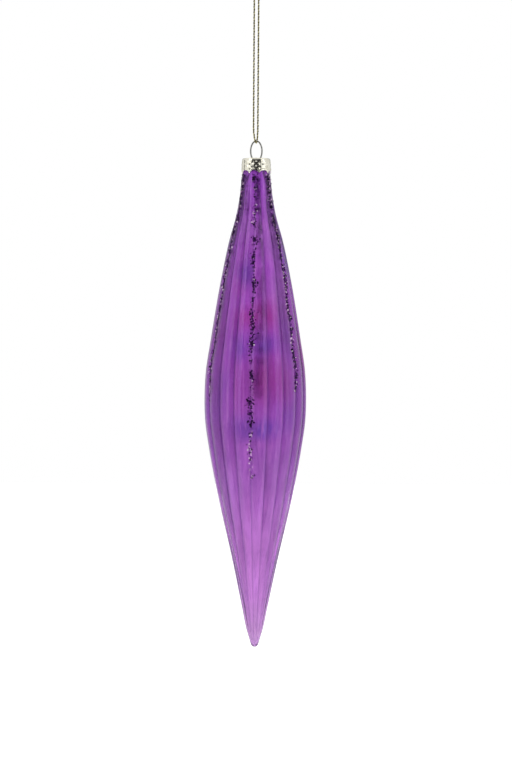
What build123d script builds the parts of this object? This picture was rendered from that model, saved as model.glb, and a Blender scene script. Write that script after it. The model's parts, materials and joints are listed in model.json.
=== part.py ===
"""Icicle hanging ornament: a fluted, hollow glass spindle with lines of glitter, a stamped metal cap,
a bent hanger wire and a doubled metallic cord.

Millimetres, +Z up. The origin is the hanging point, at the top of the cord's loop, just under its knot.
Heights of the ornament are counted as drops below the centre of the wire at the top of its ring.
"""

import math
import os

from build123d import *

# ---------------------------------------------------------------- driving dimensions

# Cord
cord_diameter = 0.9
cord_drop = 86.0            # hanging point to the centre of the wire at the ring's top
knot_diameter = 3.4
knot_height = 4.2

# Hanger wire
wire_diameter = 0.8
ring_half_width = 2.9       # wire centre line
ring_half_height = 5.2

# Cap
cap_top_drop = 9.0
cap_height = 7.8            # to the points of the scallops
cap_top_radius = 7.25
cap_bottom_radius = 7.7
cap_shoulder_radius = 0.8
cap_wall = 0.3
cap_hole_radius = 2.6
scallop_count = 9
scallop_depth = 1.5
scallop_turn = 12.3         # degrees from the front to the first point

# Glass
tip_drop = 259.6
tip_radius = 2.0
neck_radius = 6.6
neck_bore_radius = 5.75
wall = 1.2                  # under the valleys
rib_count = 18
rib_depth_share = 0.035     # of the radius, crest to valley, on the belly
neck_gap = 0.08             # between the cap's underside and the neck's rim

# Radius of the rib crests at drops down the body: neck, flare, belly and taper
body_stations = [
    (14.0, 6.75),
    (19.0, 7.4),
    (28.0, 8.4),
    (38.0, 10.2),
    (51.0, 13.8),
    (71.0, 18.0),
    (102.0, 23.15),
    (118.0, 25.5),
    (131.0, 26.1),
    (143.5, 25.7),
    (158.0, 23.65),
    (185.0, 18.55),
    (215.0, 11.7),
    (240.0, 6.45),
    (251.5, 3.95),
]
faint_rib_share = 0.004     # where the ribs have all but gone
rib_start_drop = 14.0       # the ribs grow from here ...
rib_full_drop = 45.0        # ... to here
rib_fade_drop = 215.0       # and die out from here to the tip
rib_turn = -4.0             # degrees from the front to the first valley

# Glitter: one bead in every third valley, long and short in turn
glitter_count = 6
glitter_radius = 0.5
glitter_lift = 0.25         # from the valley out to the bead's middle
glitter_start_drop = 19.0
glitter_long_drop = 173.0
glitter_short_drop = 134.0

# ---------------------------------------------------------------- derived values

wire_radius = wire_diameter / 2
cord_radius = cord_diameter / 2
ring_top_z = -cord_drop
cap_top_z = ring_top_z - cap_top_drop
cap_edge_z = cap_top_z - cap_height
neck_top_z = cap_top_z - cap_wall - neck_gap
rib_pitch = 360 / rib_count
tip_taper = math.radians(17)        # the taper's slope where the rounded tip begins
tip_ball_drop = tip_drop - tip_radius
tip_join_drop = tip_ball_drop + tip_radius * math.sin(tip_taper)
tip_join_radius = tip_radius * math.cos(tip_taper)
hollow_taper = math.radians(12)     # the same where the hollow ends


def height(drop):
    """Height of a place given as a drop below the ring's top."""
    return ring_top_z - drop


def smooth_step(value, low, high):
    """0 below low, 1 above high, and an even rise between them."""
    share = min(1, max(0, (value - low) / (high - low)))
    return share * share * (3 - 2 * share)


def rib_depth(drop, radius):
    """Crest to valley: next to nothing at the neck and the tip, most at the belly."""
    grown = smooth_step(drop, rib_start_drop, rib_full_drop)
    faded = 1 - smooth_step(drop, rib_fade_drop, tip_join_drop)
    return radius * max(faint_rib_share, rib_depth_share * grown * faded)


def around(radius, angle, z=None):
    """A point at an angle in degrees, 0 at the front (-Y) and growing towards +X."""
    x = radius * math.sin(math.radians(angle))
    y = -radius * math.cos(math.radians(angle))
    return (x, y) if z is None else (x, y, z)


def rib_arc_points(drop, radius, rib):
    """Valley, crest and next valley of one rib at one level."""
    valley_radius = radius - rib_depth(drop, radius)
    valley_angle = rib * rib_pitch + rib_turn
    return (
        around(valley_radius, valley_angle),
        around(radius, valley_angle + rib_pitch / 2),
        around(valley_radius, valley_angle + rib_pitch),
    )


def bend_radii(route, share=0.45):
    """The widest arc at each corner that both of its runs leave room for."""
    points = [Vector(*point) for point in route]
    radii = []
    for before, corner, after in zip(points, points[1:], points[2:]):
        shorter = min((corner - before).length, (after - corner).length)
        turn = (corner - before).get_angle(after - corner)
        radii.append(share * shorter / math.tan(math.radians(turn / 2)))
    return radii


os.makedirs("parts", exist_ok=True)

# ---------------------------------------------------------------- glass body

stations = [(neck_top_z, 0, neck_radius)]
stations += [(height(drop), drop, radius) for drop, radius in body_stations]
stations += [(height(tip_join_drop), tip_join_drop, tip_join_radius)]

with BuildPart() as glass_body:
    # Fluted outside, from the neck's rim to the start of the rounded tip
    for z, drop, radius in stations:
        with BuildSketch(Plane.XY.offset(z)):
            with BuildLine():
                for rib in range(rib_count):
                    ThreePointArc(*rib_arc_points(drop, radius, rib))
            make_face()
    loft()
    # Rounded tip, rooted a little way inside the taper
    tip_root = (0, height(tip_join_drop) + tip_radius)
    with BuildSketch(Plane.XZ):
        with BuildLine():
            tip_arc = RadiusArc((tip_join_radius, height(tip_join_drop)), (0, height(tip_drop)), tip_radius)
            Polyline(tip_arc @ 1, tip_root, tip_arc @ 0)
        make_face()
    revolve(axis=Axis.Z)
    # Smooth hollow inside, open at the neck, with a rounded bottom
    hollow_points = [(neck_bore_radius, height(19.0))]
    for z, drop, radius in stations[3:-2]:
        hollow_points.append((radius - rib_depth(drop, radius) - wall, z))
    hollow_end = hollow_points[-1]
    hollow_ball_radius = hollow_end[0] / math.cos(hollow_taper)
    hollow_bottom = (0, hollow_end[1] - hollow_ball_radius * (1 - math.sin(hollow_taper)))
    with BuildSketch(Plane.XZ):
        with BuildLine():
            Line((0, neck_top_z + 1), (neck_bore_radius, neck_top_z + 1))
            Line((neck_bore_radius, neck_top_z + 1), hollow_points[0])
            Spline(hollow_points, tangents=[(0, -1), (-math.sin(hollow_taper), -math.cos(hollow_taper))])
            RadiusArc(hollow_end, hollow_bottom, hollow_ball_radius)
            Line(hollow_bottom, (0, neck_top_z + 1))
        make_face()
    revolve(axis=Axis.Z, mode=Mode.SUBTRACT)
glass_body.part.label = "glass_body"
export_step(glass_body.part, "parts/glass_body.step")

# ---------------------------------------------------------------- glitter lines


def crest_radius(drop):
    """Radius over the ribs, straight between the body's stations."""
    for (above, above_radius), (below, below_radius) in zip(body_stations, body_stations[1:]):
        if drop <= below:
            return above_radius + (below_radius - above_radius) * (drop - above) / (below - above)


def valley_route(angle, end_drop):
    """Points just outside the valley at an angle, from under the cap down to a level."""
    between = [drop for drop, radius in body_stations if glitter_start_drop + 5 < drop < end_drop - 5]
    route = []
    for drop in [glitter_start_drop, *between, end_drop]:
        radius = crest_radius(drop)
        route.append(around(radius - rib_depth(drop, radius) + glitter_lift, angle, height(drop)))
    return route


for line in range(glitter_count):
    line_angle = rib_turn + line * 360 / glitter_count
    route = valley_route(line_angle, glitter_long_drop if line % 2 == 0 else glitter_short_drop)
    with BuildPart() as glitter_line:
        with BuildLine() as bead_line:
            FilletPolyline(*route, radius=bend_radii(route))
        bead_path = bead_line.wires()[0]
        with BuildSketch(Plane(origin=bead_path @ 0, z_dir=bead_path % 0)):
            Circle(glitter_radius)
        sweep(path=bead_path)
    name = f"glitter_line_{line + 1}"
    glitter_line.part.label = name
    export_step(glitter_line.part, f"parts/{name}.step")

# ---------------------------------------------------------------- cap

scallop_pitch = 360 / scallop_count
scallop_half_width = 0.9 * cap_bottom_radius * math.radians(scallop_pitch / 2)

with BuildPart() as cap:
    # Cup of sheet metal with a round hole for the wire
    with BuildSketch(Plane.XZ):
        with BuildLine():
            FilletPolyline(
                (cap_hole_radius, cap_top_z - cap_wall),
                (cap_top_radius - cap_wall, cap_top_z - cap_wall),
                (cap_bottom_radius - cap_wall, cap_edge_z),
                radius=cap_shoulder_radius - cap_wall,
            )
            offset(amount=cap_wall, side=Side.LEFT)
        make_face()
    revolve(axis=Axis.Z)
    # Round arches between the points of the lower edge
    for scallop in range(scallop_count):
        arch_angle = scallop_turn + (scallop + 0.5) * scallop_pitch
        outward = Vector(*around(1, arch_angle, 0))
        with BuildSketch(Plane(origin=(0, 0, cap_edge_z), x_dir=outward.cross(Vector(0, 0, 1)), z_dir=outward)):
            Ellipse(scallop_half_width, scallop_depth)
        extrude(amount=cap_bottom_radius + 1, mode=Mode.SUBTRACT)
cap.part.label = "cap"
export_step(cap.part, "parts/cap.step")

# ---------------------------------------------------------------- hanger wire

ring_open_angle = 46        # degrees round the oval, below its middle, where the legs begin
kink_radius = 2.5
kink_turn = 45
leg_length = 13.4
foot_radius = 1.2
foot_turn = 60

with BuildPart() as hanger_wire:
    # Half of the ring, the kink in the cap's hole, a leg that flares to the neck's wall and its foot
    with BuildLine(Plane.XZ) as wire_line:
        half_ring = EllipticalCenterArc(
            (0, ring_top_z - ring_half_height),
            ring_half_width,
            ring_half_height,
            start_angle=-ring_open_angle,
            arc_size=90 + ring_open_angle,
        )
        kink = JernArc(half_ring @ 0, (half_ring % 0) * -1, kink_radius, kink_turn)
        leg = Line(kink @ 1, kink @ 1 + (kink % 1) * leg_length)
        JernArc(leg @ 1, leg % 1, foot_radius, -foot_turn)
        mirror(about=Plane.YZ)
    wire_path = wire_line.wires()[0]
    with BuildSketch(Plane(origin=wire_path @ 0, z_dir=wire_path % 0)):
        Circle(wire_radius)
    sweep(path=wire_path)
hanger_wire.part.label = "hanger_wire"
export_step(hanger_wire.part, "parts/hanger_wire.step")

# ---------------------------------------------------------------- hanging cord

# From the knot down one strand, round the wire at the ring's top, and back up the other
cord_route = [
    (-0.35, 0.0, 2.2),
    (-1.55, 0.0, -1.2),
    (-2.15, 0.1, -4.6),
    (-1.3, 0.0, -10.0),
    (-1.45, -0.05, -81.6),
    (-0.5, -1.6, -86.93),
    (0.3, 1.6, -86.93),
    (0.75, 0.05, -81.4),
    (0.95, 0.0, -10.4),
    (2.05, -0.1, -4.9),
    (1.6, 0.0, -1.4),
    (0.35, 0.0, 2.2),
]


cord_radii = bend_radii(cord_route)
print("cord radii", [round(radius, 2) for radius in cord_radii])

with BuildPart() as hanging_cord:
    with BuildLine() as cord_line:
        FilletPolyline(*cord_route, radius=cord_radii)
    cord_path = cord_line.wires()[0]
    with BuildSketch(Plane(origin=cord_path @ 0, z_dir=cord_path % 0)):
        Circle(cord_radius)
    sweep(path=cord_path)
hanging_cord.part.label = "hanging_cord"
export_step(hanging_cord.part, "parts/hanging_cord.step")
print(
    "cord length", round(cord_path.length, 1),
    "volume", round(hanging_cord.part.volume, 1),
    "section times length", round(math.pi * cord_radius**2 * cord_path.length, 1),
)

# ---------------------------------------------------------------- cord knot

knot_middle_z = knot_height / 2 + 0.5
tail_routes = [
    [(-0.3, 0.0, 3.6), (-1.3, 0.2, 7.6), (-1.7, 0.1, 11.4)],
    [(0.3, 0.0, 3.6), (1.0, -0.3, 7.4), (2.2, -0.4, 10.8)],
]

with BuildPart() as cord_knot:
    with BuildSketch(Plane.XZ):
        with Locations((0, knot_middle_z)):
            Ellipse(knot_diameter / 2, knot_height / 2)
        split(bisect_by=Plane.YZ)
    revolve(axis=Axis.Z)
    for route in tail_routes:
        with BuildLine() as tail_line:
            FilletPolyline(*route, radius=bend_radii(route))
        tail_path = tail_line.wires()[0]
        with BuildSketch(Plane(origin=tail_path @ 0, z_dir=tail_path % 0)):
            Circle(cord_radius)
        sweep(path=tail_path)
cord_knot.part.label = "cord_knot"
export_step(cord_knot.part, "parts/cord_knot.step")
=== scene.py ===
"""The icicle hanging ornament's looks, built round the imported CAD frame.

Metres, +Z up, the front faces -Y. Lengths given in millimetres are multiplied by MM.
"""

import json
import math
import random

import bpy
import numpy as np
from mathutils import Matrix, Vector


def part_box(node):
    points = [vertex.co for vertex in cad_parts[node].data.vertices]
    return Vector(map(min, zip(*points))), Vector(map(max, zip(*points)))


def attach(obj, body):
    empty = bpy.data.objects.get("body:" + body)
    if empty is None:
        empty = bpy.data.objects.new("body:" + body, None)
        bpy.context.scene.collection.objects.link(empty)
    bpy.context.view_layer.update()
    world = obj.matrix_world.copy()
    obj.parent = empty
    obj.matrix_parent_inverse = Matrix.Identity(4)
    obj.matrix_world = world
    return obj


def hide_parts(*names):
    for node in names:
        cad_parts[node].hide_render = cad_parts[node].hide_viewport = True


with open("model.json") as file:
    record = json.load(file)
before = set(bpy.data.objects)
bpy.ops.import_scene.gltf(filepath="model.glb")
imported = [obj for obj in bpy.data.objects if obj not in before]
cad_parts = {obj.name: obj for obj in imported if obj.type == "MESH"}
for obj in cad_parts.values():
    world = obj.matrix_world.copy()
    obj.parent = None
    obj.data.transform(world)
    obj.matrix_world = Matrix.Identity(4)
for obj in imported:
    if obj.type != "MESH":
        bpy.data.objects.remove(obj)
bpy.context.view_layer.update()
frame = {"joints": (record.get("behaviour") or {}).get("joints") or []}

MM = 0.001

# ---------------------------------------------------------------- places, from the frame

joints = {joint["name"]: joint for joint in frame["joints"]}
RING_TOP = joints["swing"]["pos_m"][2]      # centre of the wire at the top of its ring
CAP_LOW, CAP_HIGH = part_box("cap")
GLASS_LOW, GLASS_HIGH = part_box("glass_body")
WIRE_LOW, WIRE_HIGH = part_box("hanger_wire")
CAP_TOP = CAP_HIGH[2]
CAP_EDGE = CAP_LOW[2]
NECK_RIM = GLASS_HIGH[2]
TIP = GLASS_LOW[2]


def level(drop):
    """Height of a place given in millimetres below the ring's top."""
    return RING_TOP - drop * MM


def smooth_step(value, low, high):
    """0 below low, 1 above high, and an even rise between them."""
    share = np.clip((value - low) / (high - low), 0.0, 1.0)
    return share * share * (3 - 2 * share)


# ---------------------------------------------------------------- mesh helpers


def make_piece(name, vertices, faces, body, material, smooth=True):
    """A mesh object that rides on a body."""
    mesh = bpy.data.meshes.new(name)
    mesh.from_pydata([tuple(v) for v in vertices], [], faces)
    mesh.materials.append(material)
    mesh.shade_smooth() if smooth else mesh.shade_flat()
    piece = bpy.data.objects.new(name, mesh)
    bpy.context.scene.collection.objects.link(piece)
    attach(piece, body)
    return piece


def ring_faces(ring_count, around, first=0, close=False):
    """Quads between rings of points that follow each other; close joins the last ring to the first."""
    faces = []
    for ring in range(ring_count if close else ring_count - 1):
        low = first + ring * around
        high = first + ((ring + 1) % ring_count) * around
        for k in range(around):
            n = (k + 1) % around
            faces.append((low + k, high + k, high + n, low + n))
    return faces


def tube_frames(path):
    """Unit tangents and two side directions along a path, turning as little as they can."""
    path = np.asarray(path, float)
    tangents = np.gradient(path, axis=0)
    tangents /= np.linalg.norm(tangents, axis=1)[:, None]
    side = np.cross(tangents[0], (0.0, 1.0, 0.0))
    if np.linalg.norm(side) < 0.1:
        side = np.cross(tangents[0], (1.0, 0.0, 0.0))
    sides = np.empty_like(path)
    for k, tangent in enumerate(tangents):
        side = side - tangent * side.dot(tangent)
        side /= np.linalg.norm(side)
        sides[k] = side
    return tangents, sides, np.cross(tangents, sides)


def tube_mesh(path, radii, around=12, lobes=0, lobe_depth=0.0, lobe_turns=0.0):
    """Vertices and faces of a closed tube with rounded ends; lobes run round it like threads."""
    path = np.asarray(path, float)
    radii = np.broadcast_to(np.asarray(radii, float), (len(path),)).copy()
    tangents, sides, ups = tube_frames(path)
    lengths = np.concatenate([[0], np.cumsum(np.linalg.norm(np.diff(path, axis=0), axis=1))])
    angles = np.arange(around) / around * 2 * math.pi
    turned = angles[None, :] * lobes + lengths[:, None] * lobe_turns * 2 * math.pi
    swell = 1 + lobe_depth * np.cos(turned) if lobes else np.ones((len(path), around))
    reach = radii[:, None] * swell
    points = (
        path[:, None]
        + reach[..., None] * np.cos(angles)[None, :, None] * sides[:, None]
        + reach[..., None] * np.sin(angles)[None, :, None] * ups[:, None]
    )
    vertices = points.reshape(-1, 3).tolist()
    faces = ring_faces(len(path), around)
    start, end = len(vertices), len(vertices) + 1
    vertices.append((path[0] - tangents[0] * radii[0] * 0.5).tolist())
    vertices.append((path[-1] + tangents[-1] * radii[-1] * 0.5).tolist())
    last = (len(path) - 1) * around
    for k in range(around):
        n = (k + 1) % around
        faces.append((start, k, n))
        faces.append((end, last + n, last + k))
    return vertices, [face[::-1] for face in faces]


def join_meshes(parts):
    """One vertex list and face list from several."""
    vertices, faces = [], []
    for more_vertices, more_faces in parts:
        shift = len(vertices)
        vertices.extend(more_vertices)
        faces.extend([tuple(i + shift for i in face) for face in more_faces])
    return vertices, faces


# ---------------------------------------------------------------- material helpers


class Shader:
    """Builds a node tree a line at a time."""

    def __init__(self, name):
        self.material = bpy.data.materials.new(name)
        self.material.use_nodes = True
        self.tree = self.material.node_tree
        self.tree.nodes.clear()
        self.output = self.add("ShaderNodeOutputMaterial")
        self.surface = self.add("ShaderNodeBsdfPrincipled")
        self.link(self.surface.outputs[0], self.output.inputs["Surface"])

    def blob(self, place, centre, size):
        """1 at a centre, fading to 0 at its size away along each axis."""
        away = self.add("ShaderNodeVectorMath", operation="SUBTRACT")
        self.link(place, away.inputs[0])
        away.inputs[1].default_value = centre
        scaled = self.add("ShaderNodeVectorMath", operation="DIVIDE")
        self.link(away.outputs[0], scaled.inputs[0])
        scaled.inputs[1].default_value = size
        length = self.add("ShaderNodeVectorMath", operation="LENGTH")
        self.link(scaled.outputs[0], length.inputs[0])
        return self.span(length.outputs["Value"], 0.25, 1.0, 1.0, 0.0)

    def add(self, kind, **settings):
        node = self.tree.nodes.new(kind)
        for key, value in settings.items():
            setattr(node, key, value)
        return node

    def link(self, source, target):
        self.tree.links.new(source, target)

    def put(self, node, **values):
        """Sets or links a node's inputs, named with _ for spaces."""
        for key, value in values.items():
            socket = node.inputs[key.replace("_", " ")]
            if isinstance(value, bpy.types.NodeSocket):
                self.link(value, socket)
            else:
                socket.default_value = value
        return node

    def math(self, operation, *values):
        node = self.add("ShaderNodeMath", operation=operation)
        for socket, value in zip(node.inputs, values):
            if isinstance(value, bpy.types.NodeSocket):
                self.link(value, socket)
            else:
                socket.default_value = value
        return node.outputs[0]

    def ramp(self, factor, stops, interpolation="LINEAR"):
        node = self.add("ShaderNodeValToRGB")
        node.color_ramp.interpolation = interpolation
        elements = node.color_ramp.elements
        while len(elements) < len(stops):
            elements.new(1.0)
        for element, (place, colour) in zip(elements, stops):
            element.position = place
            if isinstance(colour, (int, float)):
                colour = (colour, colour, colour)
            element.color = (*colour, 1.0)
        self.link(factor, node.inputs[0])
        return node.outputs[0]

    def span(self, value, low, high, to_low=0.0, to_high=1.0):
        node = self.add("ShaderNodeMapRange", clamp=True)
        self.put(node, Value=value, From_Min=low, From_Max=high, To_Min=to_low, To_Max=to_high)
        return node.outputs[0]

    def mix(self, factor, first, second, blend="MIX"):
        node = self.add("ShaderNodeMix", data_type="RGBA", blend_type=blend)
        for socket, value in ((node.inputs[0], factor), (node.inputs[6], first), (node.inputs[7], second)):
            if isinstance(value, bpy.types.NodeSocket):
                self.link(value, socket)
            elif isinstance(value, tuple):
                socket.default_value = (*value, 1.0)
            else:
                socket.default_value = value
        return node.outputs[2]

    def noise(self, vector, scale, detail=3.0, distortion=0.0):
        node = self.add("ShaderNodeTexNoise")
        self.put(node, Vector=vector, Scale=scale, Detail=detail, Distortion=distortion)
        return node.outputs["Fac"]

    def place(self, stretch=(1.0, 1.0, 1.0)):
        """The place on the object, with each axis stretched."""
        coordinates = self.add("ShaderNodeTexCoord")
        mapping = self.add("ShaderNodeMapping")
        self.put(mapping, Vector=coordinates.outputs["Object"], Scale=stretch)
        return mapping.outputs[0]

    def attribute(self, name):
        return self.add("ShaderNodeAttribute", attribute_name=name).outputs["Fac"]

    def bump(self, height, strength, distance):
        node = self.add("ShaderNodeBump")
        self.put(node, Height=height, Strength=strength, Distance=distance)
        return node.outputs[0]


def linear(red, green, blue):
    """An sRGB colour of 0 to 255 as the shader wants it."""
    def convert(value):
        value /= 255
        return value / 12.92 if value <= 0.04045 else ((value + 0.055) / 1.055) ** 2.4
    return (convert(red), convert(green), convert(blue))


# ---------------------------------------------------------------- camera, floor and light

CAMERA_DISTANCE = 1.6
CAMERA_LEVEL = level(124.7)
CAMERA_SIDE = 0.28 * MM
CAMERA_ROLL = math.radians(-0.21)           # the ornament hangs this far off the picture's upright
FRAME_HEIGHT = 394.2 * MM                   # what the picture takes in at the ornament
SENSOR = 36.0
FLOOR_DROP = 110 * MM                       # from the tip down to the floor


def build_camera():
    data = bpy.data.cameras.new("camera")
    data.sensor_width = SENSOR
    data.lens = SENSOR * CAMERA_DISTANCE / FRAME_HEIGHT
    data.clip_start, data.clip_end = 0.05, 50.0
    camera = bpy.data.objects.new("camera", data)
    camera.location = (CAMERA_SIDE, -CAMERA_DISTANCE, CAMERA_LEVEL)
    camera.rotation_euler = (math.radians(90), CAMERA_ROLL, 0)
    bpy.context.scene.collection.objects.link(camera)
    bpy.context.scene.camera = camera


def build_floor():
    """A strip of white paper under and behind the ornament."""
    shader = Shader("floor_paper")
    grain = shader.noise(shader.place(), 40.0)
    shader.put(
        shader.surface,
        Base_Color=shader.mix(grain, linear(244, 244, 244), linear(250, 250, 250)),
        Roughness=0.9,
        Emission_Color=(1.0, 1.0, 1.0, 1.0),
        Emission_Strength=0.5,
    )
    side, front, back, z = 0.7, -0.35, 6.0, TIP - FLOOR_DROP
    corners = [(-side, front, z), (side, front, z), (side, back, z), (-side, back, z)]
    mesh = bpy.data.meshes.new("floor")
    mesh.from_pydata(corners, [], [(0, 1, 2, 3)])
    mesh.materials.append(shader.material)
    floor = bpy.data.objects.new("floor", mesh)
    bpy.context.scene.collection.objects.link(floor)


# Brightness of the studio, by the share of the half turn from the camera round to behind the ornament
STUDIO_BANDS = [
    (0.0, 0.03),
    (0.29, 0.05),
    (0.375, 0.78),
    (0.44, 0.85),
    (0.77, 0.8),
    (0.85, 0.32),
    (0.92, 0.35),
    (0.955, 1.0),
]
WALL_START, WALL_END = 0.28, 0.375          # where the dark front gives way to the side walls
WHITE = (1.0, 1.0, 1.0)


def build_light():
    """A studio: dark behind the camera, bright walls to both sides and a white backdrop behind."""
    world = bpy.data.worlds.new("studio")
    world.use_nodes = True
    tree = world.node_tree
    tree.nodes.clear()
    shader = Shader.__new__(Shader)
    shader.tree = tree
    direction = shader.add("ShaderNodeTexCoord").outputs["Generated"]
    split = shader.add("ShaderNodeSeparateXYZ")
    shader.link(direction, split.inputs[0])
    turn = shader.math("ARCTAN2", split.outputs["X"], shader.math("MULTIPLY", split.outputs["Y"], -1.0))
    turn = shader.math("DIVIDE", shader.math("ABSOLUTE", turn), math.pi)
    band = shader.ramp(turn, STUDIO_BANDS, "EASE")
    # the floor's glow softens the foot of the side walls
    near_floor = shader.span(split.outputs["Z"], 0.0, 0.3, 1.0, 0.0)
    low = shader.math("MULTIPLY", near_floor, shader.span(turn, 0.4, 0.6))
    band = shader.mix(shader.math("MULTIPLY", low, 0.7), band, (0.8, 0.8, 0.8))
    # a softbox overhead
    band = shader.mix(shader.span(split.outputs["Z"], 0.5, 0.72), band, WHITE)
    # light that comes through the glass from the front, for the views from behind
    rays = shader.add("ShaderNodeLightPath")
    in_front = shader.span(turn, WALL_START, WALL_END, 1.0, 0.0)
    passed = shader.math("MULTIPLY", rays.outputs["Is Transmission Ray"], in_front)
    band = shader.mix(passed, band, (0.6, 0.6, 0.6))
    seen = rays.outputs["Is Camera Ray"]
    background = shader.add("ShaderNodeBackground")
    shader.put(background, Color=shader.mix(seen, band, WHITE), Strength=1.0)
    output = shader.add("ShaderNodeOutputWorld")
    shader.link(background.outputs[0], output.inputs["Surface"])
    bpy.context.scene.world = world

    def softbox(name, place, size, power):
        data = bpy.data.lights.new(name, "AREA")
        data.shape = "RECTANGLE"
        data.size, data.size_y = size
        data.energy = power
        lamp = bpy.data.objects.new(name, data)
        lamp.location = place
        aim = Vector((0, 0, CAMERA_LEVEL)) - Vector(place)
        lamp.rotation_euler = aim.to_track_quat("-Z", "Y").to_euler()
        lamp.visible_camera = False
        bpy.context.scene.collection.objects.link(lamp)

    softbox("softbox_left", (-0.9, -0.75, 0.1), (0.5, 1.2), 3.0)
    softbox("softbox_right", (0.95, -0.7, 0.0), (0.5, 1.2), 2.5)
    bpy.context.scene.view_settings.view_transform = "Standard"


build_camera()
build_floor()
build_light()

# ---------------------------------------------------------------- cord

CORD_LAY = 2.8 * MM                         # one full turn of the two plies
PLY_RADIUS = 0.235 * MM
PLY_OFFSET = 0.225 * MM                     # from the cord's middle to a ply's
CORD_STEP = 0.13 * MM

# From the knot down one strand, round the wire at the ring's top, and back up the other (mm)
CORD_ROUTE = [
    (-0.35, 0.0, 2.2),
    (-1.55, 0.0, -1.2),
    (-2.15, 0.1, -4.6),
    (-1.3, 0.0, -10.0),
    (-1.31, 0.0, -15.5),
    (-1.44, -0.05, -76.1),
    (-1.45, -0.05, -81.6),
    (-0.5, -1.6, -86.93),
    (0.3, 1.6, -86.93),
    (0.75, 0.05, -81.4),
    (0.76, 0.05, -75.9),
    (0.94, 0.0, -15.9),
    (0.95, 0.0, -10.4),
    (2.05, -0.1, -4.9),
    (1.6, 0.0, -1.4),
    (0.35, 0.0, 2.2),
]


def spline_points(name, route, step):
    """Points, step apart, along the smooth line that a route's points control."""
    curve = bpy.data.curves.new(name, "CURVE")
    curve.dimensions = "3D"
    curve.resolution_u = 64
    spline = curve.splines.new("NURBS")
    spline.points.add(len(route) - 1)
    for point, place in zip(spline.points, route):
        point.co = (*(value * MM for value in place), 1.0)
    spline.order_u = 3
    spline.use_endpoint_u = True
    holder = bpy.data.objects.new(name, curve)
    mesh = bpy.data.meshes.new_from_object(holder)
    points = np.array([vertex.co[:] for vertex in mesh.vertices])
    bpy.data.objects.remove(holder)
    bpy.data.curves.remove(curve)
    bpy.data.meshes.remove(mesh)
    lengths = np.concatenate([[0], np.cumsum(np.linalg.norm(np.diff(points, axis=0), axis=1))])
    even = np.linspace(0, lengths[-1], max(8, round(lengths[-1] / step)))
    return np.stack([np.interp(even, lengths, points[:, axis]) for axis in range(3)], axis=1)


def thread_material(name, dark, light):
    """Metallised thread wound from flat foil: glints along the lay, dull between."""
    shader = Shader(name)
    fine = shader.noise(shader.place((1.0, 1.0, 0.5)), 2600.0, detail=2.0)
    tarnish = shader.noise(shader.place(), 160.0)
    gold = shader.mix(shader.span(fine, 0.35, 0.65), linear(*dark), linear(*light))
    shader.put(
        shader.surface,
        Base_Color=shader.mix(shader.span(tarnish, 0.5, 0.75), gold, linear(*dark)),
        Metallic=0.8,
        Roughness=shader.span(fine, 0.3, 0.7, 0.28, 0.5),
        Normal=shader.bump(fine, 0.4, 0.05 * MM),
    )
    return shader.material


def twisted(path, phase=0.0):
    """The two plies of the cord along a path, one after the other."""
    _, sides, ups = tube_frames(path)
    lengths = np.concatenate([[0], np.cumsum(np.linalg.norm(np.diff(path, axis=0), axis=1))])
    parts = []
    for ply in range(2):
        angle = phase + ply * math.pi + lengths / CORD_LAY * 2 * math.pi
        line = path + PLY_OFFSET * (np.cos(angle)[:, None] * sides + np.sin(angle)[:, None] * ups)
        parts.append(tube_mesh(line, PLY_RADIUS, around=12, lobes=4, lobe_depth=0.07, lobe_turns=520.0))
    return parts


def paint_second_ply(piece, faces_before, material):
    """Gives the faces after the first ply's the other thread's material."""
    piece.data.materials.append(material)
    slots = np.zeros(len(piece.data.polygons), int)
    slots[faces_before:] = 1
    piece.data.polygons.foreach_set("material_index", slots)


KNOT_MIDDLE = 2.6                           # above the hanging point (mm)
STRAND_OFFSET = 0.45                        # from the knot's line to each of its two strands (mm)
FRAY_COUNT = 14                             # filaments at each cut end
FRAY_RADIUS = 0.045 * MM
TAIL_ROUTES = [
    [(-0.5, 0.1, 5.6), (-1.1, 0.2, 7.8), (-1.5, 0.15, 9.6), (-1.7, 0.1, 11.2)],
    [(0.5, -0.1, 5.6), (1.0, -0.3, 7.6), (1.7, -0.4, 9.2), (2.2, -0.4, 10.6)],
]


def knot_route(sideways):
    """One strand of the overhand knot that both strands are tied in (mm), from below to its tail."""
    # a trefoil in polynomials, leaned over so that one end leaves downwards and the other upwards
    turns = np.linspace(-1.98, 1.98, 47)
    along = turns**3 - 3 * turns
    out = turns**4 - 4 * turns**2
    over = turns**5 / 5 - 2 * turns
    up = (along + over) / math.sqrt(2)
    across = (along - over) / math.sqrt(2)
    to_middle = 1 - smooth_step(np.abs(turns), 1.75, 1.98)
    apart = sideways * (0.6 + 0.4 * to_middle)
    depth = (out + 1.9) * 0.72 * to_middle
    points = np.stack([across * 1.1 + apart, depth, up * 0.6 + KNOT_MIDDLE], axis=1)
    return [(sideways * 0.6, 0.0, -0.6), *map(tuple, points.tolist())]


def frayed_end(path, chance):
    """Fine filaments that spread from the cut end of a tail."""
    end, heading = path[-1], path[-1] - path[-8]
    heading = heading / np.linalg.norm(heading)
    parts = []
    for _ in range(FRAY_COUNT):
        lean = np.array([chance.gauss(0, 0.28) for _ in range(3)])
        length = chance.uniform(0.5, 1.0) * MM
        start = end + np.array([chance.uniform(-0.22, 0.22) for _ in range(3)]) * MM - heading * 0.4 * MM
        steps = np.linspace(0, 1, 6)[:, None]
        line = start + heading * steps * length + lean * length * steps**1.6
        parts.append(tube_mesh(line, FRAY_RADIUS, around=5))
    return parts


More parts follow.
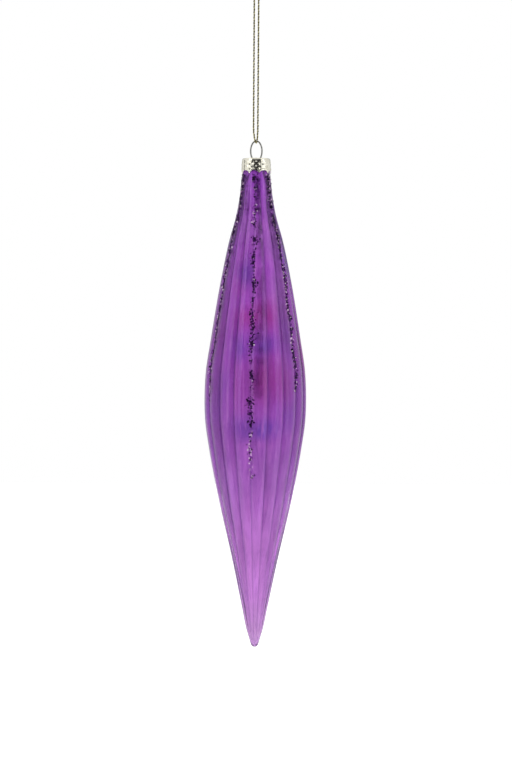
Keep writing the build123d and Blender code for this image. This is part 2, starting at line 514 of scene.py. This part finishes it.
def build_knot():
    """The knot that closes the loop and the two tails above it."""
    chance = random.Random(7)
    bright, dull, frays = [], [], []
    for index, (sideways, tail) in enumerate(zip((-STRAND_OFFSET, STRAND_OFFSET), TAIL_ROUTES)):
        path = spline_points(f"knot_route_{index}", knot_route(sideways) + tail, CORD_STEP)
        first, second = twisted(path, phase=index)
        bright.append(first)
        dull.append(second)
        frays += frayed_end(path, chance)
    faces_before = sum(len(part[1]) for part in bright)
    knot = make_piece("overhand_knot", *join_meshes(bright + dull), "cord", bright_thread)
    paint_second_ply(knot, faces_before, dull_thread)
    fray = make_piece("frayed_ends", *join_meshes(frays), "cord", bright_thread)
    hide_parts("cord_knot")
    return [knot, fray]


bright_thread = thread_material("gold_thread", (150, 138, 74), (236, 228, 170))
dull_thread = thread_material("olive_thread", (46, 42, 18), (104, 96, 48))
cord_path = spline_points("cord_route", CORD_ROUTE, CORD_STEP)
plies = twisted(cord_path)
cord_piece = make_piece("twisted_cord", *join_meshes(plies), "cord", bright_thread)
paint_second_ply(cord_piece, len(plies[0][1]), dull_thread)
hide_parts("hanging_cord")
build_knot()

# ---------------------------------------------------------------- glass body

RIB_COUNT = 18
RIB_HALF = math.radians(10)                 # from a rib's crest to its valley
RIB_DEPTH = 0.038                           # valley depth over crest radius where the ribs are full
FAINT_RIB = 0.004                           # share of that depth left where the ribs have all but gone
TIP_BALL_DROP = 257.6
TIP_RADIUS = 2.0
TIP_TAPER = math.radians(17)
WALL = 1.2                                  # under the valleys
HOLLOW_END = 258.6                          # drop of the hollow's lowest point
HOLLOW_ROUND = 4.0                          # length of its round end
RIB_START, RIB_FULL = 14, 45                # drops between which the ribs grow
RIB_FADE_START, RIB_FADE_END = 205, 250     # drops between which they die down to half
NECK_RADIUS = 6.6
NECK_BORE = 5.75

# Drop below the ring's top and radius of the rib crests (mm)
BODY_STATIONS = [
    (14.0, 6.75),
    (19.0, 7.4),
    (28.0, 8.4),
    (38.0, 10.2),
    (51.0, 13.8),
    (71.0, 18.0),
    (102.0, 23.15),
    (118.0, 25.5),
    (131.0, 26.1),
    (143.5, 25.7),
    (158.0, 23.65),
    (185.0, 18.55),
    (215.0, 11.7),
    (240.0, 6.45),
    (251.5, 3.95),
]

# Angles across one rib from its crest (degrees), closer together towards its valleys
RIB_ANGLES = [-10.0, -9.55, -8.9, -7.7, -5.6, -2.9, 0.0, 2.9, 5.6, 7.7, 8.9, 9.55]


def crest_radius(drop):
    """Radius over the rib crests (mm) at a drop, on a smooth line through the stations."""
    at, radius = np.array(BODY_STATIONS).T
    join = TIP_BALL_DROP + TIP_RADIUS * math.sin(TIP_TAPER)
    if drop >= join:
        return math.sqrt(max(TIP_RADIUS**2 - (drop - TIP_BALL_DROP) ** 2, 0.0))
    if drop >= at[-1]:
        return radius[-1] - math.tan(TIP_TAPER) * (drop - at[-1])
    if drop < at[0]:
        return NECK_RADIUS + (radius[0] - NECK_RADIUS) * float(smooth_step(drop, at[0] - 3, at[0]))
    slope = np.gradient(radius, at)
    slope[0], slope[-1] = 0.1, -math.tan(TIP_TAPER)
    k = min(int(np.searchsorted(at, drop, side="right")) - 1, len(at) - 2)
    step = at[k + 1] - at[k]
    t = (drop - at[k]) / step
    return (
        radius[k] * (1 + 2 * t) * (1 - t) ** 2
        + radius[k + 1] * t * t * (3 - 2 * t)
        + slope[k] * step * t * (1 - t) ** 2
        - slope[k + 1] * step * t * t * (1 - t)
    )


def uneven_ribs(rib):
    """How much deeper or shallower than the usual each rib's valleys are."""
    return 1 + 0.16 * np.sin(rib * 1.9 + 1.1) + 0.1 * np.sin(rib * 3.7)


def out_of_round(angle, drop):
    """How far the blown body strays from a true circle, as a share of its radius."""
    wobble = 0.005 * np.sin(2 * angle + drop / 37.0 + 0.6) + 0.003 * np.sin(3 * angle - drop / 23.0)
    return 1 + wobble * smooth_step(drop, 25, 60)


def rib_growth(drop):
    """How much of their full depth the ribs have at a drop."""
    faded = 0.5 * smooth_step(drop, RIB_FADE_START, RIB_FADE_END)
    return smooth_step(drop, RIB_START, RIB_FULL) * (1 - faded)


def rib_share(drop):
    """Valley depth over crest radius at a drop; the ribs close before the tip's ball."""
    return RIB_DEPTH * max(float(rib_growth(drop) * (1 - smooth_step(drop, 244, 257))), FAINT_RIB)


def rib_turn(drop):
    """How far round the ribs stand at a drop (radians); they wander a little, as drawn glass does."""
    wander = 0.6 * np.sin((drop - 30) / 50.0) * smooth_step(drop, 20, 60)
    return np.radians(-4.0 + wander - 2.2 * smooth_step(drop, 60, 125))


def fluted_radius(crest, share, local):
    """Radius at an angle from a rib's crest; each rib is an arc between two sharp valleys."""
    valley = crest * (1 - share)
    centre = (crest**2 - valley**2) / (2 * (crest - valley * math.cos(RIB_HALF)))
    return centre * np.cos(local) + np.sqrt((crest - centre) ** 2 - (centre * np.sin(local)) ** 2)


def body_ring(drop, inset=0.0, flute=1.0):
    """One ring of points (mm) round the body at a drop, inset from its surface."""
    rib = np.arange(RIB_COUNT)[:, None]
    local = np.radians(np.array(RIB_ANGLES))[None, :]
    share = rib_share(drop) * flute * uneven_ribs(rib)
    radius = fluted_radius(crest_radius(drop), share, local)
    angle = rib * 2 * RIB_HALF + local + RIB_HALF + rib_turn(drop)
    radius = np.maximum(radius * out_of_round(angle, drop) - inset, 0.05)
    x, y = radius * np.sin(angle), -radius * np.cos(angle)
    return np.stack([x.ravel(), y.ravel(), np.full(x.size, -drop)], axis=1)


def round_ring(drop, radius):
    """One plain ring of points (mm) at a drop."""
    rib = np.arange(RIB_COUNT)[:, None]
    local = np.radians(np.array(RIB_ANGLES))[None, :]
    angle = (rib * 2 * RIB_HALF + local + RIB_HALF + rib_turn(RIB_START)).ravel()
    return np.stack([radius * np.sin(angle), -radius * np.cos(angle), np.full(angle.size, -drop)], axis=1)


def hollow_ring(drop):
    """One ring of the inner face, which follows the ribs only softly and closes in a round end."""
    end = math.sqrt(max(0.0, 1 - max(0.0, (drop - HOLLOW_END + HOLLOW_ROUND) / HOLLOW_ROUND) ** 2))
    inside = crest_radius(drop) - WALL * (1 - 0.3 * float(smooth_step(drop, 240, 253)))
    inset = crest_radius(drop) - inside * end + 0.6 * rib_share(drop) * crest_radius(drop)
    return body_ring(drop, inset=inset, flute=0.4)


def build_glass(material):
    """A closed shell, hollow and open at the neck."""
    rim = (RING_TOP - NECK_RIM) / MM
    around = RIB_COUNT * len(RIB_ANGLES)
    round_end = [HOLLOW_END - 0.1, 258.2, 257.6, 256.8, 255.6, 254, 251.5, 248]
    hollow_drops = [*round_end, *np.linspace(244, 66, 26), 55, 46, 38, 30, 24, 18, 14, 11.5]
    inner = [hollow_ring(drop) for drop in hollow_drops] + [round_ring(rim + 0.15, NECK_BORE)]
    rings = inner + [round_ring(rim, NECK_BORE + 0.2), round_ring(rim, NECK_RADIUS - 0.35)]
    rings += [round_ring(rim + 0.1, NECK_RADIUS - 0.1)]
    rings += [round_ring(drop, NECK_RADIUS) for drop in (rim + 0.35, rim + 0.9, 10.9)]
    stretches = ((11.5, 60, 60), (61, 250, 150), (250.8, TIP_BALL_DROP, 18))
    drops = np.concatenate([np.linspace(*stretch) for stretch in stretches])
    ball = TIP_BALL_DROP + TIP_RADIUS * np.sin(np.radians([18, 28, 38, 48, 58, 68, 77, 84]))
    rings += [body_ring(drop) for drop in [*drops, *ball]]
    vertices = np.concatenate(rings)
    faces = ring_faces(len(rings), around)
    tip, pit = len(vertices), len(vertices) + 1
    last = (len(rings) - 1) * around
    faces += [(tip, last + (k + 1) % around, last + k) for k in range(around)]
    faces += [(pit, k, (k + 1) % around) for k in range(around)]
    drop_tip = (RING_TOP - TIP) / MM
    vertices = np.concatenate([vertices, [(0, 0, -drop_tip), (0, 0, -HOLLOW_END)]]) * MM
    vertices[:, 2] += RING_TOP
    piece = make_piece("fluted_glass", vertices, faces, "glass", material)
    # how deep in a valley each point stands, and whether it is on the hollow's wall
    valley = np.concatenate([np.tile(np.abs(np.array(RIB_ANGLES)) / 10, RIB_COUNT * len(rings)), [0, 0]])
    within = np.zeros(len(vertices))
    within[: len(inner) * around] = 1
    within[-1] = 1
    for name, values in (("valley", valley), ("inner", within)):
        layer = piece.data.attributes.new(name, "FLOAT", "POINT")
        layer.data.foreach_set("value", values.astype(np.float32))
    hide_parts("glass_body")


# colours of the painted reflections (rose, blue) and the painted highlights (pale)
ROSE_REFLECTION = (198, 72, 164)
BLUE_REFLECTION = (112, 84, 200)
PALE_HIGHLIGHT = (206, 142, 222)

# Painted reflections and highlights, laid into the lacquer's colour as patches:
# degrees from the front, drop, half width and half height (mm), strength, colour
PAINTED_REFLECTIONS = [
    (14, 122, 12, 17, 0.8, ROSE_REFLECTION),
    (34, 124, 9, 16, 0.6, ROSE_REFLECTION),
    (-12, 90, 9, 9, 0.9, ROSE_REFLECTION),
    (12, 89, 10, 10, 0.8, ROSE_REFLECTION),
    (-28, 70, 6, 13, 0.6, ROSE_REFLECTION),
    (-22, 68, 6, 10, 0.7, BLUE_REFLECTION),
    (10, 104, 9, 8, 0.85, BLUE_REFLECTION),
    (-18, 106, 8, 10, 0.7, BLUE_REFLECTION),
    (12, 148, 11, 8, 0.85, BLUE_REFLECTION),
    (-12, 147, 11, 9, 0.65, BLUE_REFLECTION),
    (-40, 126, 7, 16, 0.35, BLUE_REFLECTION),
    (42, 100, 7, 22, 0.4, BLUE_REFLECTION),
    (18, 52, 5, 14, 0.7, PALE_HIGHLIGHT),
    (-24, 46, 5, 12, 0.55, PALE_HIGHLIGHT),
    (20, 165, 12, 13, 0.55, PALE_HIGHLIGHT),
    (-30, 175, 10, 16, 0.4, PALE_HIGHLIGHT),
    (34, 80, 8, 16, 0.7, PALE_HIGHLIGHT),
    (95, 110, 13, 20, 0.7, ROSE_REFLECTION),
    (80, 62, 8, 13, 0.6, BLUE_REFLECTION),
    (125, 142, 12, 12, 0.6, BLUE_REFLECTION),
    (150, 88, 9, 13, 0.7, ROSE_REFLECTION),
    (185, 126, 13, 18, 0.7, ROSE_REFLECTION),
    (200, 66, 7, 12, 0.6, BLUE_REFLECTION),
    (215, 150, 12, 12, 0.5, PALE_HIGHLIGHT),
    (250, 98, 10, 16, 0.6, ROSE_REFLECTION),
    (265, 138, 11, 12, 0.6, BLUE_REFLECTION),
    (285, 60, 7, 12, 0.5, PALE_HIGHLIGHT),
]


def lacquered_glass():
    """Transparent violet lacquer over the outside, thick at the neck and thin at the tip; the colour's
    grade from a dark neck to a light tip is partly that coat and partly painted light: painted shade under
    the cap and painted light where more light comes through the thin tip.
    """
    shader = Shader("violet_lacquered_glass")
    split = shader.add("ShaderNodeSeparateXYZ")
    shader.link(shader.add("ShaderNodeTexCoord").outputs["Object"], split.inputs[0])
    drop = shader.span(split.outputs["Z"], RING_TOP, TIP)
    # darker at the neck, lighter towards the tip: partly the lacquer's thickness, partly painted shade
    # under the cap and painted light at the thin tip
    colour = shader.ramp(
        drop,
        [
            (0.06, linear(182, 94, 218)),
            (0.18, linear(212, 120, 236)),
            (0.25, linear(208, 111, 229)),
            (0.42, linear(198, 102, 217)),
            (0.55, linear(196, 109, 216)),
            (0.68, linear(203, 129, 219)),
            (0.8, linear(219, 142, 226)),
            (0.9, linear(222, 153, 228)),
            (1.0, linear(226, 182, 230)),
        ],
    )
    place = shader.add("ShaderNodeTexCoord").outputs["Object"]
    uneven_edge = shader.add("ShaderNodeTexNoise")
    shader.put(uneven_edge, Vector=shader.place((1.0, 1.0, 0.3)), Scale=120.0, Detail=2.0)
    shifted = shader.add("ShaderNodeVectorMath", operation="MULTIPLY_ADD")
    shader.link(uneven_edge.outputs["Color"], shifted.inputs[0])
    shifted.inputs[1].default_value = (0.006, 0.006, 0.01)
    shader.link(place, shifted.inputs[2])
    # paint the reflections and highlights over the lacquer's colour
    for angle, at, wide, high, amount, tint in PAINTED_REFLECTIONS:
        turn, radius = math.radians(angle), crest_radius(at)
        centre = (
            radius * MM * math.sin(turn) + 0.003,
            -radius * MM * math.cos(turn) + 0.003,
            level(at) + 0.005,
        )
        reflection_patch = shader.blob(shifted.outputs[0], centre, (wide * MM, wide * MM, high * MM))
        colour = shader.mix(shader.math("MULTIPLY", reflection_patch, amount), colour, linear(*tint))
    tall = shader.noise(shader.place((1.0, 1.0, 0.1)), 150.0, detail=2.0, distortion=0.4)
    streaks = shader.ramp(shader.span(tall, 0.35, 0.7), [(0, 0.68), (1, 1.0)])
    colour = shader.mix(1.0, colour, streaks, "MULTIPLY")
    # fine pale and dark lines drawn down the glass
    drawn = shader.noise(shader.place((1.0, 1.0, 0.03)), 620.0, detail=3.0)
    colour = shader.mix(shader.span(drawn, 0.56, 0.7, 0.0, 0.5), colour, linear(232, 158, 232))
    colour = shader.mix(shader.span(drawn, 0.3, 0.44, 0.45, 0.0), colour, linear(126, 54, 160))
    # painted shade: the colour darkens deep in the valleys between the ribs
    valley_shade = shader.math("POWER", shader.attribute("valley"), 6.0)
    colour = shader.mix(shader.math("MULTIPLY", valley_shade, 0.72), colour, linear(92, 46, 134))
    # the hollow's wall is bare and a little cloudy
    inner = shader.attribute("inner")
    wave = shader.noise(shader.place((1.0, 1.0, 0.25)), 90.0, detail=1.0)
    shader.put(
        shader.surface,
        Base_Color=shader.mix(inner, colour, (0.97, 0.93, 0.98)),
        Roughness=shader.span(inner, 0.0, 1.0, 0.035, 0.25),
        Transmission_Weight=1.0,
        IOR=1.5,
        Specular_Tint=(0.82, 0.56, 1.0, 1.0),
        Normal=shader.bump(wave, 0.3, 0.15 * MM),
    )
    body = shader.add("ShaderNodeVolumeAbsorption")
    shader.put(body, Color=(0.6, 0.34, 0.84, 1.0), Density=160.0)
    shader.link(body.outputs[0], shader.output.inputs["Volume"])
    return shader.material


build_glass(lacquered_glass())

# ---------------------------------------------------------------- glitter

GLITTER_START = 17.6
GLITTER_LONG = 173.0
GLITTER_SHORT = 134.0

# Front line: where the flakes gather (drop, half length in mm), how thickly, and the share of bright ones,
# which are painted glints
FRONT_CLUSTERS = [
    (19.5, 2.5, 1.3, 0.15),
    (26.0, 3.5, 0.7, 0.4),
    (37.0, 5.0, 0.6, 0.7),
    (44.0, 2.0, 0.5, 0.7),
    (52.0, 2.2, 1.3, 0.1),
    (61.0, 4.6, 1.2, 0.15),
    (73.5, 4.6, 1.3, 0.1),
    (82.0, 2.5, 0.6, 0.1),
    (90.5, 3.8, 1.2, 0.1),
    (96.5, 2.6, 0.9, 0.1),
    (104.5, 5.0, 1.3, 0.08),
    (113.0, 2.0, 0.4, 0.2),
    (120.5, 3.0, 1.1, 0.1),
    (127.0, 2.0, 0.2, 0.6),
    (134.5, 3.0, 1.8, 0.02),
    (139.5, 1.8, 1.3, 0.02),
    (144.5, 2.4, 1.2, 0.05),
    (150.0, 2.0, 0.4, 1.2),
    (159.0, 6.5, 0.55, 1.4),
    (171.0, 2.5, 0.35, 1.4),
]

FLAKES_PER_MM = (5.4, 7.0, 7.0, 4.5, 7.0, 7.0)  # of each line's length, where its weight is 1
FLAKE_THICKNESS = 0.05
GLUE_AROUND = 10                            # points round a lump of glue

LEVELS = np.arange(9.0, 260.0, 0.25)
CREST_LEVELS = np.array([crest_radius(drop) for drop in LEVELS])


def surface_points(drops, angles):
    """Points (mm) on the glass at drops and angles from the front, and the outward directions there."""
    def radius_at(drops):
        turn = angles - rib_turn(drops)
        rib = np.floor(turn / (2 * RIB_HALF)) % RIB_COUNT
        share = RIB_DEPTH * np.maximum(rib_growth(drops), FAINT_RIB) * uneven_ribs(rib)
        crest = np.interp(drops, LEVELS, CREST_LEVELS)
        radius = fluted_radius(crest, share, turn % (2 * RIB_HALF) - RIB_HALF)
        return radius * out_of_round(angles, drops)

    radius = radius_at(drops)
    slope = radius_at(drops + 0.5) - radius_at(drops - 0.5)
    places = np.stack([radius * np.sin(angles), -radius * np.cos(angles), -drops], axis=1)
    outward = np.stack([np.sin(angles), -np.cos(angles), slope], axis=1)
    return places, outward / np.linalg.norm(outward, axis=1)[:, None]


def line_angle(line, drop):
    """Where round the glass a glitter line runs at a drop (radians from the front)."""
    return math.radians(60 * line) + rib_turn(drop) + 0.02 * math.sin(drop / 3.7 + line)


def to_metres(points):
    """Points given in mm below the ring's top, in the shared frame."""
    points = np.asarray(points, float) * MM
    points[:, 2] += RING_TOP
    return points


def glitter_clusters(line, chance):
    """Clusters down one line; the front one's are set, and the others differ by chance."""
    if line == 0:
        return FRONT_CLUSTERS
    end = GLITTER_LONG if line % 2 == 0 else GLITTER_SHORT
    clusters, drop = [], GLITTER_START + 1.5
    while drop < end - 2:
        half = chance.uniform(2.2, 4.2)
        near_neck = 1.35 - 0.6 * smooth_step(drop, 25, 70)
        # share of pale flakes, which are painted glints
        bright = 0.45 if line % 2 else 0.2 + 0.6 * float(smooth_step(drop, 140, 155))
        clusters.append((drop, half, chance.uniform(0.7, 1.25) * float(near_neck) + 0.2, bright))
        drop += chance.uniform(4.2, 7.2)
    return clusters


def flake_mesh(place, outward, chance, size):
    """A thin hexagonal flake lying askew on the surface."""
    tilt = np.array([chance.gauss(0, 1) for _ in range(3)]) * 0.42
    normal = outward + tilt
    normal /= np.linalg.norm(normal)
    side = np.cross(normal, (chance.uniform(-1, 1), chance.uniform(-1, 1), chance.uniform(-1, 1)))
    side /= np.linalg.norm(side)
    up = np.cross(normal, side)
    corners = []
    for face in (-1, 1):
        for k in range(6):
            angle = k * math.pi / 3
            spoke = math.cos(angle) * side + math.sin(angle) * up
            corners.append(place + normal * face * FLAKE_THICKNESS / 2 + size / 2 * spoke)
    faces = [(5, 4, 3, 2, 1, 0), (6, 7, 8, 9, 10, 11)]
    faces += [(k, (k + 1) % 6, 6 + (k + 1) % 6, 6 + k) for k in range(6)]
    return corners, faces


def glue_mesh(line, clusters, chance):
    """Lumps of clear glue down the valley, one under each cluster of flakes."""
    lumps = []
    for at, half, weight, _ in clusters:
        sections = []
        start, end = max(GLITTER_START, at - half * 1.15), at + half * 1.15
        for share in np.linspace(0.0, 1.0, 19):
            drop = start + share * (end - start)
            pinch = math.sqrt(max(0.02, 1 - (2 * share - 1) ** 2)) * (1 + 0.16 * math.sin(share * 17 + at))
            wide = (0.5 + 0.25 * min(weight, 1.3)) * pinch + chance.uniform(-0.03, 0.03)
            tall = (0.07 + 0.08 * min(weight, 1.3)) * pinch
            rounds = np.arange(GLUE_AROUND) / GLUE_AROUND * 2 * math.pi
            across, above = np.cos(rounds) * wide, np.sin(rounds) * tall
            angles = line_angle(line, drop) + across / crest_radius(drop)
            places, outward = surface_points(np.full(GLUE_AROUND, drop), angles)
            lift = 0.03 + np.maximum(above, 0.0) + 0.04 * (above > -0.01)
            sections.append(places + outward * lift[:, None])
        vertices = np.concatenate(sections).tolist()
        faces = ring_faces(len(sections), GLUE_AROUND)
        faces.append(tuple(range(GLUE_AROUND)))
        faces.append(tuple(range(len(vertices) - 1, len(vertices) - 1 - GLUE_AROUND, -1)))
        lumps.append((vertices, [face[::-1] for face in faces]))
    return join_meshes(lumps)


def glitter_material(name, dark, light, metal, rough):
    shader = Shader(name)
    tone = shader.add("ShaderNodeNewGeometry").outputs["Random Per Island"]
    shader.put(
        shader.surface,
        Base_Color=shader.ramp(tone, [(0.0, linear(*dark)), (1.0, linear(*light))]),
        Metallic=metal,
        Roughness=rough,
    )
    return shader.material


def glue_material():
    shader = Shader("clear_glue")
    lumps = shader.noise(shader.place(), 900.0, detail=2.0)
    shader.put(
        shader.surface,
        Base_Color=(*linear(240, 214, 246), 1.0),
        Roughness=0.15,
        Transmission_Weight=1.0,
        IOR=1.2,
        Normal=shader.bump(lumps, 0.3, 0.1 * MM),
    )
    return shader.material


def build_glitter():
    chance = random.Random(18)
    # dark flakes: their own dark purple, painted near-black as they look in shade; bright flakes: painted
    # glints
    dark = glitter_material("dark_glitter", (26, 10, 40), (74, 30, 100), 0.85, 0.3)
    light = glitter_material("bright_glitter", (214, 150, 222), (255, 240, 252), 0.35, 0.25)
    glue = glue_material()
    for line in range(6):
        clusters = glitter_clusters(line, chance)
        flakes = {"dark": [], "bright": []}
        for at, half, weight, glint_share in clusters:
            for _ in range(round(weight * half * 2 * FLAKES_PER_MM[line])):
                drop = max(GLITTER_START, chance.gauss(at, half * 0.58))
                across = chance.gauss(0, 0.58 + 0.15 * weight)
                angle = line_angle(line, drop) + across / crest_radius(drop)
                place, outward = (found[0] for found in surface_points(np.array([drop]), np.array([angle])))
                # pale flakes are painted glints; the others are the dark flakes
                kind = "bright" if chance.random() < glint_share * 0.45 else "dark"
                size = chance.uniform(0.5, 1.25) * (0.8 if kind == "bright" else 1.0)
                size *= 0.86 if line == 0 else 1.0
                lift = 0.12 + 0.3 * chance.random() * max(0.2, 1 - abs(across))
                flakes[kind].append(flake_mesh(place + outward * lift, outward, chance, size))
        node = f"glitter_line_{line + 1}"
        vertices, faces = glue_mesh(line, clusters, chance)
        bead = make_piece(f"glitter_glue_{line + 1}", to_metres(vertices), faces, "glass", glue)
        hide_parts(node)
        for kind, material in (("dark", dark), ("bright", light)):
            vertices, faces = join_meshes(flakes[kind])
            name = f"glitter_{kind}_{line + 1}"
            piece = make_piece(name, to_metres(vertices), faces, "glass", material, smooth=False)


build_glitter()

# ---------------------------------------------------------------- cap

CAP_TOP_RADIUS = 7.25
CAP_BOTTOM_RADIUS = 7.7
CAP_SHOULDER = 0.8
CAP_SHEET = 0.3
CAP_HOLE = 2.6
CAP_HEIGHT = (CAP_TOP - CAP_EDGE) / MM
SCALLOPS = 9
SCALLOP_DEPTH = 1.5
SCALLOP_TURN = math.radians(12.3)           # from the front to the first point
CAP_SEAM = math.radians(-53)                # where the sheet's ends lap
EMBOSSING = 0.75                            # how sharply the pattern is stamped
CAP_AROUND = 432


def scallop_rise(angle):
    """How far (mm) the lower edge stands above its points: round arches between them."""
    pitch = 2 * math.pi / SCALLOPS
    share = ((angle - SCALLOP_TURN) / pitch) % 1.0
    across = (share - 0.5) / 0.45
    return SCALLOP_DEPTH * math.sqrt(max(0.0, 1 - across * across)) if abs(across) < 1 else 0.0


def embossing(angle, down, length):
    """Height (mm) of the stamped diamonds at an angle and a way down the side."""
    u = angle / (2 * math.pi / 18)
    v = down / 2.4
    first = abs((u + v) % 1.0 - 0.5) * 2
    second = abs((u - v) % 1.0 - 0.5) * 2
    facet = 1 - max(first, second)
    ridge = float(smooth_step(max(first, second), 0.86, 0.97))
    stud = 1 - float(smooth_step(math.hypot(first, second), 0.16, 0.34))
    edge = float(smooth_step(down, 0.5, 0.9)) * float(1 - smooth_step(down, length - 1.4, length - 1.1))
    beads = 0.5 + 0.5 * math.cos(angle * 72)
    near_rim = smooth_step(down, length - 1.1, length - 0.9)
    near_rim *= 1 - smooth_step(down, length - 0.55, length - 0.35)
    line = smooth_step(down, 0.1, 0.3) * (1 - smooth_step(down, 0.42, 0.6))
    diamonds = edge * (0.36 * facet + 0.14 * ridge + 0.08 * stud - 0.14)
    return EMBOSSING * (diamonds + float(0.12 * near_rim * beads + 0.08 * line))


def cap_seam(angle, down):
    """The lap of the sheet: a narrow groove with a raised lip on one side (mm)."""
    off = (angle - CAP_SEAM + math.pi) % (2 * math.pi) - math.pi
    off *= CAP_BOTTOM_RADIUS
    groove = -0.22 * math.exp(-(off / 0.16) ** 2)
    lip = 0.16 * math.exp(-((off + 0.42) / 0.26) ** 2)
    return groove + lip


def cap_point(radius, angle, down):
    return (radius * math.sin(angle), -radius * math.cos(angle), -(RING_TOP - CAP_TOP) / MM - down)


def build_cap(material):
    angles = np.arange(CAP_AROUND) / CAP_AROUND * 2 * math.pi
    taper = (CAP_BOTTOM_RADIUS - CAP_TOP_RADIUS) / CAP_HEIGHT
    rings = []
    # hole's rolled edge, then the dished top out to the shoulder
    for outward, down in ((0.05, 0.36), (-0.1, 0.22), (-0.02, 0.02), (0.25, 0.0)):
        rings.append([cap_point(CAP_HOLE + outward, a, down) for a in angles])
    for share in np.linspace(0.12, 1.0, 12):
        radius = CAP_HOLE + share * (CAP_TOP_RADIUS - CAP_SHOULDER - CAP_HOLE)
        dish = 0.14 * math.sin(share * math.pi)
        ray = [dish + 0.05 * math.cos(a * 18) * math.sin(share * math.pi) for a in angles]
        rings.append([cap_point(radius, a, max(d, 0.0)) for a, d in zip(angles, ray)])
    for turn in np.radians([12, 26, 40, 54, 68, 80]):
        radius = CAP_TOP_RADIUS - CAP_SHOULDER * (1 - math.sin(turn))
        rings.append([cap_point(radius, a, CAP_SHOULDER * (1 - math.cos(turn))) for a in angles])
    # side, stretched down to the scalloped edge
    lengths = [CAP_HEIGHT - CAP_SHOULDER - scallop_rise(a) for a in angles]
    for share in np.linspace(0.0, 1.0, 58):
        ring = []
        for angle, length in zip(angles, lengths):
            down = share * length
            radius = CAP_TOP_RADIUS + taper * (down + CAP_SHOULDER) + embossing(angle, down, length)
            ring.append(cap_point(radius + cap_seam(angle, down) - 0.05, angle, CAP_SHOULDER + down))
        rings.append(ring)
    # rounded lower lip and the plain inside
    for inset, lower in ((0.1, 0.07), (0.2, 0.07), (0.3, 0.0)):
        rings.append([
            cap_point(CAP_BOTTOM_RADIUS - 0.1 - inset, a, CAP_SHOULDER + length + lower - 0.07)
            for a, length in zip(angles, lengths)
        ])
    inside = CAP_TOP_RADIUS - CAP_SHEET - 0.12
    for share in (0.75, 0.5, 0.25, 0.0):
        rings.append([
            cap_point(inside + taper * share * length, a, CAP_SHOULDER + share * length)
            for a, length in zip(angles, lengths)
        ])
    rings.append([cap_point(CAP_TOP_RADIUS - CAP_SHEET - 0.35, a, 0.42) for a in angles])
    rings.append([cap_point(CAP_HOLE + 0.5, a, 0.42) for a in angles])
    vertices = to_metres([point for ring in rings for point in ring])
    faces = ring_faces(len(rings), CAP_AROUND, close=True)
    piece = make_piece("embossed_cap", vertices, faces, "cap", material)
    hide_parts("cap")


def cap_metal():
    shader = Shader("champagne_plate")
    worn = shader.noise(shader.place(), 420.0, detail=4.0)
    fine = shader.noise(shader.place(), 2400.0, detail=2.0)
    shader.put(
        shader.surface,
        Base_Color=shader.mix(shader.span(worn, 0.35, 0.7), linear(226, 222, 204), linear(246, 243, 230)),
        Metallic=1.0,
        Roughness=shader.span(worn, 0.3, 0.7, 0.08, 0.18),
        Normal=shader.bump(fine, 0.1, 0.02 * MM),
    )
    return shader.material


build_cap(cap_metal())

# ---------------------------------------------------------------- hanger wire

WIRE_RADIUS = 0.43
RING_HALF_WIDTH = 2.9
RING_HALF_HEIGHT = 5.2
RING_OPEN = 46                              # degrees below the oval's middle, where the legs begin
WIRE_STEP = 0.5

# Below the oval: radius of a bend (mm), its turn (degrees), its steps, and the straight after it (mm)
WIRE_BENDS = [
    (2.5, 45, 14, 13.4),
    (1.2, -60, 9, 0.0),
]


def wire_side():
    """Points (mm) of the wire's right half: ring top, oval, kink, leg and foot."""
    points = []
    for turn in np.radians(np.linspace(90, -RING_OPEN, 40)):
        points.append((RING_HALF_WIDTH * math.cos(turn), RING_HALF_HEIGHT * (math.sin(turn) - 1)))
    x, z = points[-1]
    heading = math.atan2(z - points[-2][1], x - points[-2][0])
    for radius, turn, steps, run in WIRE_BENDS:
        for _ in range(steps):
            step = math.radians(turn) / steps
            heading += step
            x += radius * abs(step) * math.cos(heading)
            z += radius * abs(step) * math.sin(heading)
            points.append((x, z))
        for _ in range(round(run / WIRE_STEP)):
            x += WIRE_STEP * math.cos(heading)
            z += WIRE_STEP * math.sin(heading)
            points.append((x, z))
    return points


def build_wire(material):
    right = [(x, 0.0, z) for x, z in wire_side()]
    path = [(-x, y, z) for x, y, z in right[:0:-1]] + right
    radii = np.full(len(path), WIRE_RADIUS)
    radii[0] = radii[-1] = WIRE_RADIUS * 0.85
    vertices, faces = tube_mesh(path, radii, around=20)
    piece = make_piece("hanger_ring_wire", to_metres(vertices), faces, "hanger", material)
    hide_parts("hanger_wire")


def wire_metal():
    shader = Shader("bright_steel_wire")
    drawn = shader.noise(shader.place(), 1400.0, detail=3.0)
    shader.put(
        shader.surface,
        Base_Color=shader.mix(drawn, linear(140, 140, 136), linear(196, 196, 190)),
        Metallic=1.0,
        Roughness=shader.span(drawn, 0.3, 0.7, 0.1, 0.22),
    )
    return shader.material


build_wire(wire_metal())
